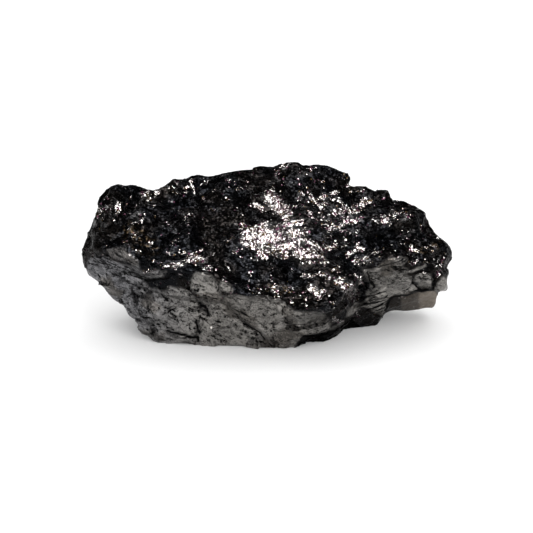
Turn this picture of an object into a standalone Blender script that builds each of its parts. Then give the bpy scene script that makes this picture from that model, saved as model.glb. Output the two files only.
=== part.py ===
"""A nugget of noble shungite: one broken lump of glassy black carbon rock.

The main lump is a loft through guide rails that run along its length. Swellings,
valleys, broken ledges, layer steps and shell-shaped chips are then worked into its
surface, which is reduced to flat facets and levelled where it rests. All sizes are
in millimetres until the finished mesh is scaled to metres.
"""

import math

import bmesh
import bpy
import numpy as np
from mathutils import Matrix, Vector, noise

NODE = "shungite_nugget"
MM = 0.001

# The stone at rest: +X runs along its length, -Y is its front and +Z is up.
LENGTH = 61.8

# Spacing of the loft's rings, voxel sizes before and after the surface is worked, and
# the number of facets that are kept.
RING_STEP = 1.1
FORM_VOXEL = 0.5
SKIN_VOXEL = 0.4
TRIANGLES = 9600

# Guide rails, each a line of (x, y, z) points from the left tip to the right tip.
# Every ring of the loft takes one point from each rail, in this order.
RAILS = {
    # lower edge of the broken front face
    "front_foot": (
        (-30.9, -2.8, 13.0), (-29.3, -4.0, 11.0), (-27.0, -6.0, 9.4), (-24.5, -7.0, 7.4),
        (-22.5, -7.3, 4.6), (-21.0, -7.6, 1.4), (-19.0, -8.2, 0.0), (-12.0, -8.5, 0.0),
        (0.0, -10.0, 0.0), (5.0, -9.6, 0.6), (10.0, -9.5, 2.6), (14.0, -7.5, 3.9),
        (19.0, -5.0, 6.5), (24.0, -4.0, 7.2), (27.5, -3.5, 7.8), (30.0, -2.0, 8.8),
        (30.9, -1.6, 11.6),
    ),
    # brow, where the front face turns into the sloping top
    "brow": (
        (-30.9, -3.6, 14.6), (-29.3, -6.0, 15.6), (-27.0, -8.5, 17.0), (-24.5, -10.0, 18.1),
        (-22.5, -10.2, 16.4), (-21.0, -11.6, 16.6), (-19.0, -11.4, 15.0), (-17.0, -12.8, 15.6),
        (-14.5, -12.2, 16.0), (-12.0, -13.3, 14.9), (-9.0, -13.8, 13.6), (-6.0, -14.2, 12.2),
        (-3.0, -14.6, 11.1), (0.0, -15.0, 10.2), (2.5, -14.9, 9.7), (5.0, -15.2, 9.2),
        (7.5, -15.4, 9.1), (10.0, -15.0, 10.6), (12.0, -13.2, 11.6), (14.0, -11.0, 13.3),
        (16.0, -10.6, 14.5), (18.4, -9.0, 14.4), (21.5, -9.7, 15.6), (24.0, -8.1, 14.1),
        (26.0, -8.0, 14.6), (27.5, -6.6, 13.1), (29.0, -5.8, 13.7), (30.0, -4.0, 12.7),
        (30.9, -2.2, 13.0),
    ),
    # middle of the sloping top
    "slope": (
        (-30.9, -3.0, 15.4), (-29.3, -3.5, 18.0), (-27.0, -4.0, 21.6), (-24.5, -4.2, 23.2),
        (-17.0, -4.5, 21.6), (-12.0, -3.8, 22.2), (-6.0, -4.0, 20.4), (0.0, -4.2, 20.6),
        (10.0, -4.6, 20.6), (14.0, -3.0, 20.2), (19.0, -2.4, 20.4), (24.0, -2.2, 19.2),
        (27.5, -2.4, 16.6), (30.0, -2.2, 14.4), (30.9, -1.2, 13.8),
    ),
    # crest, which is the top outline
    "crest": (
        (-30.9, -1.6, 15.8), (-29.3, 0.0, 18.2), (-28.0, 1.2, 22.2), (-26.8, 1.8, 23.8),
        (-25.2, 2.6, 24.9), (-24.0, 3.0, 24.8), (-20.0, 3.6, 23.5), (-18.0, 4.6, 23.1),
        (-16.5, 5.4, 23.8), (-14.0, 6.4, 24.5), (-12.2, 6.8, 25.3), (-10.4, 7.0, 24.9),
        (-6.0, 8.0, 25.8), (-1.0, 8.5, 26.3), (2.0, 8.5, 26.2), (3.0, 8.4, 26.8),
        (7.0, 8.0, 26.3), (11.0, 7.8, 25.9), (12.2, 7.6, 25.4), (13.6, 7.2, 24.0),
        (14.4, 7.0, 23.3), (17.2, 6.4, 23.0), (18.4, 6.2, 22.6), (20.2, 6.0, 22.4),
        (21.4, 5.8, 20.7), (24.0, 5.0, 20.6), (25.6, 4.2, 19.2), (27.2, 3.2, 17.4),
        (28.6, 2.0, 15.8), (30.0, 0.6, 14.9), (30.9, -0.4, 14.2),
    ),
    # shoulder of the back
    "back_shoulder": (
        (-30.9, -0.6, 15.0), (-29.3, 3.2, 16.8), (-27.0, 7.0, 20.0), (-22.0, 9.4, 20.0),
        (-14.0, 12.4, 20.4), (-6.0, 13.4, 21.0), (3.0, 14.0, 21.6), (10.0, 13.4, 21.0),
        (16.0, 12.0, 18.8), (21.0, 10.4, 17.8), (25.5, 8.4, 16.0), (28.6, 5.6, 13.8),
        (30.0, 3.4, 13.4), (30.9, 0.6, 13.2),
    ),
    # deepest line of the back
    "back": (
        (-30.9, -0.8, 13.4), (-29.3, 4.6, 13.2), (-27.0, 9.0, 14.2), (-22.0, 11.6, 13.0),
        (-14.0, 14.0, 12.4), (-6.0, 15.6, 12.0), (3.0, 16.2, 12.6), (10.0, 15.6, 12.0),
        (16.0, 13.8, 12.4), (21.0, 12.0, 11.8), (25.5, 9.6, 10.8), (28.6, 6.2, 10.6),
        (30.0, 3.4, 11.0), (30.9, 0.4, 12.2),
    ),
    # back edge of the foot
    "heel": (
        (-30.9, -1.6, 12.8), (-29.3, 1.6, 10.2), (-27.0, 4.6, 7.6), (-24.5, 6.4, 5.0),
        (-21.0, 7.6, 1.6), (-17.0, 8.8, 0.0), (-6.0, 10.6, 0.0), (5.0, 10.4, 0.0),
        (14.0, 9.6, 0.0), (19.0, 8.6, 0.4), (24.0, 7.2, 1.8), (28.0, 6.4, 2.6),
        (29.4, 3.4, 6.4), (30.9, -0.6, 11.6),
    ),
    # middle of the underside
    "keel": (
        (-30.9, -2.4, 12.8), (-29.3, -1.6, 10.2), (-27.0, -1.4, 8.0), (-24.5, -1.2, 5.6),
        (-21.0, -1.0, 1.4), (-17.0, -1.0, -0.4), (0.0, -1.0, -0.6), (5.0, -4.0, -0.4),
        (9.3, -7.0, -0.3), (11.3, -4.6, -0.3), (14.0, -1.0, -0.4), (18.6, 0.6, -0.4),
        (20.0, 1.6, 0.8), (24.0, 2.6, 1.7), (28.2, 3.0, 2.2), (29.4, 0.6, 7.0),
        (30.9, -1.2, 11.4),
    ),
}

# Swellings: (centre, radius, push along the surface, negative for a hollow).
SWELLS = {
    "left_shoulder": ((-25.5, -4.0, 20.0), 5.5, 0.9),
    "left_tip_knob": ((-29.0, -4.5, 13.5), 3.0, 0.3),
    "back_left_knob": ((-13.0, 3.0, 24.0), 3.2, 0.7),
    "bay_below_summit": ((-3.0, 1.0, 23.5), 5.0, -0.9),
    "summit_brow": ((6.0, 4.0, 25.0), 3.5, 0.6),
    "front_bulge": ((9.0, -14.5, 10.5), 5.0, 1.3),
    "right_dome": ((23.0, 1.0, 20.0), 5.0, 0.5),
    "nose_upper_knob": ((29.4, -3.0, 14.6), 2.0, 0.6),
    "nose_lower_knob": ((28.6, -5.4, 10.6), 2.2, 0.9),
    "nose_front_knob": ((26.4, -7.6, 11.4), 2.4, 0.9),
    "right_hollow": ((22.0, -6.0, 17.0), 3.6, -0.7),
    "face_panel": ((-10.0, -12.5, 10.6), 2.8, 0.6),
    "right_foot": ((27.0, 4.6, 3.2), 2.6, 0.7),
    "back_belly": ((4.0, 15.0, 13.0), 7.0, 0.9),
    "back_hollow": ((-12.0, 13.0, 17.0), 6.0, -1.2),
    "back_right_knob": ((18.0, 12.0, 14.0), 4.5, 0.9),
    "back_left_scoop": ((-24.0, 9.0, 12.0), 5.0, -0.9),
}

# The lines below are drawn on the front as it is seen from VIEW_RISE above level:
# u runs along the stone and v runs up the view. Each is (points, width, depth).
VIEW_RISE = math.radians(20)
VALLEYS = {
    "shoulder_valley": (((-21.6, 23.2), (-22.6, 19.8), (-23.8, 16.0), (-26.0, 13.4)), 1.3, 1.5),
    "knob_notch": (((-18.0, 23.2), (-15.6, 22.0), (-11.4, 22.6), (-9.4, 24.4)), 0.9, 0.9),
    "left_fold": (((-19.6, 20.0), (-17.4, 15.0), (-18.6, 11.0)), 1.6, 0.8),
    "upper_slope_fold": (((-9.4, 20.6), (-6.2, 18.2), (-3.8, 18.8)), 1.3, 0.9),
    "lower_slope_fold": (((-8.8, 13.4), (-5.0, 10.6), (0.0, 9.6), (4.4, 9.2)), 1.6, 0.9),
    "bulge_groove": (((3.0, 10.4), (7.4, 10.9), (11.4, 10.7), (14.4, 10.2)), 1.1, 1.5),
    "lobe_valley": (((14.8, 10.4), (16.4, 7.8), (16.2, 5.6), (15.2, 2.9), (13.8, 0.6)), 1.1, 2.1),
    "summit_side": (((2.6, 20.6), (8.0, 21.6), (12.6, 23.4)), 1.0, 0.9),
    "ledge_groove": (((13.6, 23.4), (17.4, 22.0), (20.8, 21.0)), 0.8, 0.9),
    "dome_groove": (((15.8, 20.2), (19.4, 19.9), (21.6, 20.6)), 1.0, 1.1),
    "dome_hollow": (((18.4, 15.8), (22.4, 15.2), (25.8, 16.2)), 1.7, 1.0),
    "nose_crease": (((21.4, 9.8), (24.4, 9.0), (27.0, 10.0), (29.2, 12.4)), 0.8, 0.8),
    "knob_crease": (((24.6, 7.2), (27.6, 7.0), (28.0, 9.4)), 0.6, 0.7),
    "foot_undercut": (((-21.0, 0.4), (-16.0, -0.6), (-11.6, -0.4), (-9.6, -1.2)), 0.7, 0.6),
    "face_crack": (((-4.8, 1.2), (-1.0, -0.8), (1.6, -3.2)), 0.6, 0.5),
}

# Broken sheets: the skin stands proud by the depth on the upper side of the line
# (drawn from left to right) and thins out over the width.
LEDGES = {
    "left_brow": (((-27.4, 12.8), (-24.6, 12.6), (-21.6, 11.2), (-20.4, 8.8)), 3.4, 0.9),
    "middle_brow": (((-20.2, 9.6), (-16.0, 9.2), (-12.2, 9.0), (-9.6, 8.4)), 2.6, 0.8),
    "front_brow": (((-6.0, 5.4), (0.0, 5.0), (4.6, 4.6), (10.4, 1.8), (12.6, 0.6)), 2.2, 0.7),
    "slope_sheet": (((-14.4, 13.8), (-9.0, 11.8), (-4.6, 13.0), (-2.6, 11.6)), 3.6, 0.5),
    "sparkle_sheet": (((-4.6, 17.4), (-1.4, 15.8), (2.6, 14.6), (6.6, 15.2), (9.0, 17.0)), 3.0, 0.5),
    "right_sheet": (((12.0, 14.2), (17.0, 14.9), (21.6, 16.4), (25.0, 18.0)), 2.4, 0.8),
    "right_brow": (((15.6, 10.6), (20.0, 10.9), (24.4, 11.2), (27.6, 12.2)), 2.2, 0.8),
    "foot_sheet": (((-20.6, 0.2), (-15.0, -0.9), (-9.4, -1.4)), 2.0, 0.4),
}

# Layers: the rock tends to part along planes that rise gently to the right.
LAYER_NORMAL = Vector((-0.2, 0.04, 0.98)).normalized()
LAYER_PITCH = 3.1
LAYER_STEP = 0.75
LAYER_WANDER = 0.8
LAYER_WANDER_SIZE = 8.0

# How far the surface is shifted along the stone, so that no crease runs straight across it.
WARP_SIZE = 5.0
WARP_SHIFT = 2.4

# Low rounded lumps between the breaks.
LUMP_SIZE = 6.5
LUMP_HEIGHT = 0.7

# The skin starts this much proud, because chips and flats only take rock away.
CHIP_ALLOWANCE = 0.25

# Shell-shaped chips and flat breaks: (how many, least radius, most radius, depth as a
# share of the radius).
CHIP_SEED = 44
CHIPS = (
    (24, 3.6, 6.5, 0.11),
    (90, 1.6, 3.2, 0.15),
)
FLAT_SEED = 286
FLATS = (
    (80, 3.0, 6.0, 0.06),
    (280, 1.4, 3.0, 0.08),
)
FLAT_TILT = 0.2
FLAT_DEEPEST = 0.24
FLAT_EDGE = 0.14
FLAKE_SIDES = 6

# The share of all this roughness that the smooth front face takes, and the outline, so
# that the rails still set it.
FACE_SHARE = 0.3
OUTLINE_SHARE = 0.2
OUTLINE_TURN = 0.45

# What lies this near the surface that the stone rests on is levelled to it.
LEVEL_BAND = 0.45

MATERIAL = "noble_shungite"
COLOUR = (0.03, 0.03, 0.031, 1.0)
ROUGHNESS = 0.28
METALLIC = 0.75


def rail_point(rail, x):
    xs, ys, zs = zip(*rail)
    return Vector((x, np.interp(x, xs, ys), np.interp(x, xs, zs)))


def lofted_mesh():
    """The main lump: rings across X, one vertex from each rail, with both tips closed."""
    bm = bmesh.new()
    stations = np.linspace(-LENGTH / 2, LENGTH / 2, round(LENGTH / RING_STEP) + 1)
    rings = [[bm.verts.new(rail_point(rail, x)) for rail in RAILS.values()] for x in stations]
    count = len(RAILS)
    for ring, following in zip(rings, rings[1:]):
        for i in range(count):
            j = (i + 1) % count
            bm.faces.new((ring[i], ring[j], following[j], following[i]))
    bm.faces.new(rings[0][::-1])
    bm.faces.new(rings[-1])
    bmesh.ops.recalc_face_normals(bm, faces=bm.faces)
    mesh = bpy.data.meshes.new(NODE)
    bm.to_mesh(mesh)
    bm.free()
    return mesh


def apply_modifier(stone, kind, **settings):
    modifier = stone.modifiers.new(kind.title(), kind)
    for name, value in settings.items():
        setattr(modifier, name, value)
    bpy.context.view_layer.update()
    graph = bpy.context.evaluated_depsgraph_get()
    shaped = bpy.data.meshes.new_from_object(stone.evaluated_get(graph))
    stone.modifiers.clear()
    stone.data = shaped


def remesh(stone, voxel):
    apply_modifier(stone, "REMESH", mode="VOXEL", voxel_size=voxel)


def points_and_normals(mesh):
    points = np.empty(len(mesh.vertices) * 3)
    mesh.vertices.foreach_get("co", points)
    normals = np.empty(len(mesh.vertices) * 3)
    mesh.vertex_normals.foreach_get("vector", normals)
    return points.reshape(-1, 3), normals.reshape(-1, 3)


def set_points(mesh, points):
    mesh.vertices.foreach_set("co", np.ascontiguousarray(points).ravel())
    mesh.update()


def on_view(points):
    """(u, v) of each point on the plane that faces the viewer."""
    rise = points[:, 2] * math.cos(VIEW_RISE) + points[:, 1] * math.sin(VIEW_RISE)
    return np.stack([points[:, 0], rise], axis=1)


def toward_view(normals):
    """1 where the surface faces the viewer, 0 along the outline and below 0 behind it."""
    return normals[:, 2] * math.sin(VIEW_RISE) - normals[:, 1] * math.cos(VIEW_RISE)


def facing_view(normals):
    """0 on the sides turned away from the viewer, rising smoothly to 1 on those that face them."""
    return np.clip(toward_view(normals) / 0.25, 0, 1)


def distance_to_line(uv, line):
    """Distance of each (u, v) to a line of points, and 1 where it lies on the line's left."""
    best = np.full(len(uv), np.inf)
    left = np.zeros(len(uv))
    for start, end in zip(np.array(line), np.array(line)[1:]):
        along = end - start
        share = np.clip((uv - start) @ along / (along @ along), 0, 1)
        away = uv - start - share[:, None] * along
        distance = np.hypot(away[:, 0], away[:, 1])
        nearer = distance < best
        best[nearer] = distance[nearer]
        side = along[0] * away[:, 1] - along[1] * away[:, 0]
        left[nearer] = (side > 0)[nearer]
    return best, left


def warp(points, normals):
    """Shifts the surface to and fro along X, except near the tips and the outline."""
    inward = np.clip((LENGTH / 2 - np.abs(points[:, 0])) / 10, 0, 1)
    turned = np.clip(np.abs(toward_view(normals)) / OUTLINE_TURN, 0, 1)
    across = points * (0.35, 1.0, 1.0)
    shift = WARP_SHIFT * noise_at(across, WARP_SIZE, 2.3) * inward * turned
    return points + shift[:, None] * (1.0, 0.0, 0.0)


def swell(points, normals):
    for centre, radius, push in SWELLS.values():
        near = np.linalg.norm(points - np.array(centre), axis=1) / radius
        points = points + normals * (push * np.exp(-near**2))[:, None]
    return points


def carve_valleys(points, normals):
    uv, facing = on_view(points), facing_view(normals)
    depth = np.zeros(len(points))
    for line, width, deep in VALLEYS.values():
        distance, _ = distance_to_line(uv, line)
        depth = np.maximum(depth, deep * np.clip(1 - distance / (2 * width), 0, 1))
    return points - normals * (depth * facing)[:, None]


def lay_ledges(points, normals):
    uv, facing = on_view(points), facing_view(normals)
    for line, width, height in LEDGES.values():
        distance, left = distance_to_line(uv, line)
        proud = height * left * np.exp(-((distance / width) ** 2))
        points = points + normals * (proud * facing)[:, None]
    return points


def noise_at(points, size, offset=0.0):
    shift = Vector((offset, offset, offset))
    return np.array([noise.noise(Vector(p) / size + shift) for p in points])


def step_layers(points, normals):
    """Saw-toothed steps where the layers part, fading in and out across the stone."""
    height = points @ np.array(LAYER_NORMAL)
    height = height + LAYER_WANDER * noise_at(points, LAYER_WANDER_SIZE, 3.7)
    saw = (height / LAYER_PITCH) % 1.0
    shown = np.clip(0.5 + 1.6 * noise_at(points, LAYER_WANDER_SIZE, 9.1), 0, 1)
    steep = 1 - np.abs(normals @ np.array(LAYER_NORMAL)) ** 2
    push = LAYER_STEP * (saw - 0.5) * shown * steep
    return points + normals * push[:, None]


def lump(points, normals):
    push = LUMP_HEIGHT * noise_at(points, LUMP_SIZE, 5.3)
    return points + normals * push[:, None]


def struck_point(draw, points):
    """The surface point nearest to a random place in the stone's box."""
    low, high = points.min(axis=0), points.max(axis=0)
    place = draw.uniform(low, high)
    return int(np.argmin(((points - place) ** 2).sum(axis=1)))


def flake_reach(draw, offset, radius):
    """How far each point lies towards the many-sided rim of a flake, which is at 1."""
    sides = draw.normal(size=(FLAKE_SIDES, 3))
    sides /= np.linalg.norm(sides, axis=1)[:, None]
    straight = (offset @ sides.T).max(axis=1) / (0.8 * radius)
    rounded = np.linalg.norm(offset, axis=1) / (1.3 * radius)
    return np.maximum(straight, rounded)


def chip(points, normals):
    """Scoops shell-shaped scars out of the surface, deepest near one end."""
    draw = np.random.default_rng(CHIP_SEED)
    for count, least, most, share in CHIPS:
        for _ in range(count):
            start = struck_point(draw, points)
            radius = draw.uniform(least, most)
            lean = draw.normal(size=3)
            outward = normals[start]
            lean -= outward * (lean @ outward)
            lean /= np.linalg.norm(lean)
            offset = points - points[start]
            reach = flake_reach(draw, offset, radius)
            slant = 1 + 0.7 * (offset @ lean) / radius
            dig = radius * share * np.clip(1 - reach**2, 0, None) * slant
            dig[normals @ outward < 0] = 0
            points = points - outward * dig[:, None]
    return points


def flatten(points, normals):
    """Breaks the surface down to small tilted flats, with a low step at their edges."""
    draw = np.random.default_rng(FLAT_SEED)
    for count, least, most, share in FLATS:
        for _ in range(count):
            start = struck_point(draw, points)
            radius = draw.uniform(least, most)
            outward = normals[start] + FLAT_TILT * draw.normal(size=3)
            outward /= np.linalg.norm(outward)
            offset = points - points[start]
            reach = flake_reach(draw, offset, radius)
            above = np.clip(offset @ outward + radius * share, 0, radius * FLAT_DEEPEST)
            cut = above * np.clip((1 - reach) / FLAT_EDGE, 0, 1)
            cut[normals @ outward < 0] = 0
            points = points - outward * cut[:, None]
    return points


def roughness_share(points, normals):
    """How much of the broken roughness each point takes: all of it over most of the stone."""
    on_face = (normals[:, 1] < -0.7) & (points[:, 1] < -4)
    toward = toward_view(normals)
    turned = np.clip(np.abs(toward) / OUTLINE_TURN, 0, 1)
    return np.where(on_face, FACE_SHARE, 1.0) * (OUTLINE_SHARE + (1 - OUTLINE_SHARE) * turned)


def work_surface(stone):
    points, normals = points_and_normals(stone.data)
    share = roughness_share(points, normals)[:, None]
    set_points(stone.data, points + normals * CHIP_ALLOWANCE * share)
    for form in (warp, swell, carve_valleys, lay_ledges):
        points, normals = points_and_normals(stone.data)
        set_points(stone.data, form(points, normals))
    for break_up in (lump, step_layers, chip, flatten):
        points, normals = points_and_normals(stone.data)
        broken = break_up(points, normals)
        set_points(stone.data, points + (broken - points) * share)


def level_foot(mesh):
    """Flattens what lies within the level band of the surface that the stone rests on."""
    points, _ = points_and_normals(mesh)
    points[:, 2] = np.where(points[:, 2] < LEVEL_BAND, 0.0, points[:, 2])
    set_points(mesh, points)


def centre_on_box(mesh):
    """Puts the origin at the middle of the box's bottom."""
    points, _ = points_and_normals(mesh)
    low, high = points.min(axis=0), points.max(axis=0)
    middle = (low + high) / 2
    set_points(mesh, points - np.array((middle[0], middle[1], low[2])))


def shungite():
    material = bpy.data.materials.new(MATERIAL)
    material.use_nodes = True
    shader = material.node_tree.nodes["Principled BSDF"]
    shader.inputs["Base Color"].default_value = COLOUR
    shader.inputs["Roughness"].default_value = ROUGHNESS
    shader.inputs["Metallic"].default_value = METALLIC
    material.diffuse_color = COLOUR
    return material


def main():
    for existing in list(bpy.data.objects):
        bpy.data.objects.remove(existing)
    collection = bpy.data.collections.new("Shungite nugget")
    bpy.context.scene.collection.children.link(collection)
    stone = bpy.data.objects.new(NODE, lofted_mesh())
    collection.objects.link(stone)
    remesh(stone, FORM_VOXEL)
    work_surface(stone)
    remesh(stone, SKIN_VOXEL)
    level_foot(stone.data)
    faces = sum(len(face.vertices) - 2 for face in stone.data.polygons)
    apply_modifier(stone, "DECIMATE", ratio=TRIANGLES / faces, use_collapse_triangulate=True)
    level_foot(stone.data)
    centre_on_box(stone.data)
    stone.data.transform(Matrix.Scale(MM, 4))
    stone.data.materials.append(shungite())


main()
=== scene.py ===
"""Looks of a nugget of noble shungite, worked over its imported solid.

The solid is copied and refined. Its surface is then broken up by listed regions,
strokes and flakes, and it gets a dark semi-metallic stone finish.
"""

import math

import bpy
import numpy as np
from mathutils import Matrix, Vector, noise


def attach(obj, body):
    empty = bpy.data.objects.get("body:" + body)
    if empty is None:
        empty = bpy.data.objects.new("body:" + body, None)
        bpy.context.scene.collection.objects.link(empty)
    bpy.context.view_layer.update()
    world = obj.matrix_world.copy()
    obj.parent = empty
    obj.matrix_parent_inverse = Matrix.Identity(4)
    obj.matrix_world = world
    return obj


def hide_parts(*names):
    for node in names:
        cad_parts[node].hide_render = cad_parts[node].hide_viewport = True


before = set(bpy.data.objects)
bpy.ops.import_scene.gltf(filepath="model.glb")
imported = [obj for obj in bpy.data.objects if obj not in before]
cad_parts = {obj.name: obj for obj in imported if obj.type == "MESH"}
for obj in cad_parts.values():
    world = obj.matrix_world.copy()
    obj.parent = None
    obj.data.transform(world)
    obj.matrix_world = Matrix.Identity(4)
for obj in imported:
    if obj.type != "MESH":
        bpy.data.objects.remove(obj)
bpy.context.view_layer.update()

MM = 0.001
NODE = "shungite_nugget"

# The front is looked at from this rise above level and this far away, in millimetres.
VIEW_RISE = math.radians(20)
VIEW_DISTANCE = 213.0
OUT = np.array((0.0, -math.cos(VIEW_RISE), math.sin(VIEW_RISE)))
UP = np.array((0.0, math.sin(VIEW_RISE), math.cos(VIEW_RISE)))
AIM = np.array((-0.17, 0.0, 13.36)) - 2.4 * UP
EYE = AIM + VIEW_DISTANCE * OUT

# The main lamp, which the fresh flakes lean towards.
KEY = np.array((10.0, -150.0, 420.0))

# Voxel of the refined skin, in millimetres, which keeps it under 200,000 triangles.
SKIN_VOXEL = 0.277

# Seed of the wandering noise, without which it differs from run to run.
WANDER_SEED = 3

# The most that a broken face is moved to bring it nearer to a plane, and how deep the
# cracks are cut, in millimetres.
MOST_FLATTENING = 0.9
CRACK_DEPTH = 0.3

# Skins of flakes: (size in millimetres, stretch along each axis, how much the cells
# wander, depth of each bowl, its own tilt, offset of the pattern).
COARSE_FLAKES = (2.4, (0.55, 1.0, 1.0), 0.30, 0.18, 0.16, 2.0)
FINE_FLAKES = (1.0, (0.7, 1.0, 1.0), 0.25, 0.18, 0.16, 8.0)
SATIN_FLAKES = (3.4, (0.7, 1.0, 1.0), 0.35, 0.10, 0.09, 4.0)

# How far the fresh facets lean to the main lamp, and what a facet's chance has to pass
# where the rock is all fresh.
FACET_LEAN = 0.9
LIVE_THRESHOLD = 0.37

# Colours of the rock and its fresh breaks. The live rock colour is partly painted
# highlight, and the pale, pink and gold colours of the breaks are painted highlights.
COOL_ROCK = (0.0074, 0.0078, 0.0090, 1)
WARM_ROCK = (0.0096, 0.0084, 0.0078, 1)
LIVE_ROCK = (0.028, 0.027, 0.027, 1)
# Painted highlight: colour of the wisps, for the lit edges of the flakes.
WISP_HIGHLIGHT = (0.14, 0.14, 0.143, 1)
RUST = (0.090, 0.060, 0.028, 1)
PALE_BREAK_GLINT = (0.42, 0.41, 0.40, 1)
PINK_BREAK_GLINT = (0.052, 0.018, 0.033, 1)
GOLD_BREAK_GLINT = (0.050, 0.031, 0.012, 1)
# Colours of the satin faces, and what they are multiplied by at the left end, further
# right and in their shaded places.
DARK_SATIN = (0.075, 0.073, 0.071, 1)
PALE_SATIN = (0.290, 0.281, 0.270, 1)
LEFT_TINT = (0.87, 0.89, 0.97, 1)
RIGHT_TINT = (1.10, 1.08, 1.05, 1)
SHADED_TINT = (1.05, 0.97, 0.88, 1)
# Colours of the cracks and pits, of the lobes, painted black as shadow, and of the right
# foot, painted tan as the shadow under its end.
CRACK_BLACK = (0.008, 0.008, 0.008, 1)
SHADOW_LOBE_BLACK = (0.011, 0.011, 0.011, 1)
TAN_FOOT_SHADOW_COLOUR = (0.150, 0.127, 0.104, 1)
# Tint of the reflections that graze the satin, the rock and the lobes, low on the lobes to
# keep their painted shadow dark.
SATIN_RIM = (1, 1, 1, 1)
ROCK_RIM = (0.65, 0.65, 0.65, 1)
SHADOW_LOBE_RIM = (0.3, 0.3, 0.3, 1)

# Regions and lines are drawn on the front as (u, v) in millimetres from the middle of
# the view: u runs along the stone and v up the view.
SATIN_FACES = {
    "long_face": (
        (-30.2, -0.3), (-28.9, 0.3), (-27.3, 0.1), (-25.1, -0.6), (-23.1, -1.8), (-20.9, -2.8),
        (-19.7, -3.3), (-18.0, -4.0), (-16.3, -3.5), (-14.6, -3.8), (-12.9, -4.1), (-11.9, -5.0),
        (-10.4, -5.7), (-8.7, -6.3), (-7.5, -5.7), (-6.9, -5.0), (-3.6, -5.0), (0.6, -5.3),
        (3.1, -6.0), (3.3, -6.7), (5.0, -7.7), (7.7, -7.9), (9.4, -8.0), (10.6, -9.1),
        (10.7, -10.7), (8.7, -11.4), (6.2, -11.6), (5.2, -12.9), (4.0, -14.5), (0.6, -15.2),
        (-12.1, -15.2), (-19.7, -15.0), (-23.5, -12.9), (-27.1, -6.5), (-30.5, -3.6), (-31.6, -0.6),
    ),
    "upper_left_patch": (
        (-27.2, 1.9), (-27.0, 2.8), (-26.1, 3.3), (-24.8, 3.1), (-23.6, 2.5), (-22.4, 1.4),
        (-21.7, 0.4), (-21.6, -0.6), (-22.4, 0.1), (-23.6, 0.8), (-25.1, 1.3), (-26.5, 1.6),
    ),
    "left_band": (
        (-29.9, 1.4), (-28.2, 1.8), (-26.5, 1.3), (-24.8, 0.8), (-22.8, -0.1), (-21.1, -0.9),
        (-20.4, -2.0), (-21.4, -2.9), (-23.4, -1.8), (-25.6, -0.6), (-28.2, 0.1), (-30.2, -0.3),
    ),
    "thin_ledge": (
        (-20.9, -1.6), (-19.7, -0.9), (-18.4, -0.8), (-17.0, -0.9), (-17.3, -1.6), (-18.9, -1.8),
        (-20.4, -2.3),
    ),
    "raised_patch": (
        (-12.2, -1.2), (-10.9, -1.0), (-9.5, -1.4), (-8.5, -2.6), (-8.2, -4.2), (-7.3, -5.0),
        (-8.0, -6.3), (-9.8, -6.0), (-10.6, -5.2), (-12.0, -4.5), (-12.9, -3.3),
    ),
    "small_patch": (
        (-8.0, -2.8), (-7.4, -2.3), (-6.5, -2.8), (-6.0, -4.0), (-6.7, -4.3), (-7.7, -3.8),
    ),
    "low_patch": ((10.7, -10.7), (12.1, -10.1), (13.3, -9.1), (12.8, -10.2), (11.6, -10.9)),
    "sliver": ((13.5, -8.7), (14.1, -7.2), (15.3, -6.2), (15.7, -6.5), (15.1, -7.7), (14.1, -8.5)),
    "right_face": (
        (16.3, -0.4), (17.9, -0.6), (19.2, 0.1), (20.2, 0.9), (21.2, 1.3), (21.1, 0.1),
        (21.9, -0.9), (23.4, -1.3), (24.6, -1.9), (24.5, -3.0), (25.6, -3.3), (26.0, -3.8),
        (24.3, -4.8), (22.1, -5.2), (21.1, -5.3), (20.7, -7.0), (19.9, -8.4), (18.5, -7.7),
        (16.8, -7.0), (16.0, -6.7), (16.7, -5.5), (17.0, -4.3), (17.9, -4.0), (17.5, -2.8),
        (16.8, -1.4),
    ),
    "hollow_patch": (
        (21.1, 0.1), (21.6, 1.3), (22.9, 1.6), (23.8, 1.3), (23.4, 0.6), (22.9, -0.1),
        (23.9, -0.6), (22.6, -0.9), (21.7, -0.6),
    ),
    "blue_knob": (
        (25.1, -1.4), (26.3, -1.1), (27.7, -1.4), (28.2, -2.5), (27.7, -3.5), (26.7, -3.8),
        (25.8, -3.3), (25.1, -2.5),
    ),
    "round_knob": (
        (28.9, -2.5), (29.5, -1.9), (30.4, -1.8), (30.7, -2.6), (30.4, -3.6), (29.5, -4.1),
        (28.7, -4.1), (28.3, -3.5),
    ),
}
# Where dark layers show across the satin.
LAYERED = {
    "left_band": (
        (-29.9, 1.4), (-28.2, 1.8), (-26.5, 1.3), (-24.8, 0.8), (-22.8, -0.1), (-21.1, -0.9),
        (-19.7, -2.1), (-19.7, -3.1), (-21.4, -2.5), (-23.4, -1.4), (-25.6, -0.4), (-28.2, 0.3),
        (-30.2, 0.1),
    ),
    "upper_left_patch": (
        (-27.5, 2.3), (-25.8, 2.5), (-24.0, 1.8), (-22.3, 0.6), (-21.4, -0.8), (-23.5, 0.4),
        (-26.5, 1.2),
    ),
    "right_low": (
        (14.5, -9.1), (15.8, -6.3), (17.9, -5.2), (20.6, -5.9), (20.9, -7.7), (19.9, -9.1),
        (18.5, -10.2), (15.8, -10.9), (13.6, -10.9),
    ),
    "right_top": (
        (16.3, -0.4), (19.2, 1.2), (23.8, 1.8), (28.0, 0.9), (28.0, -0.6), (24.6, -1.2),
        (20.0, -0.6),
    ),
}
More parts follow.
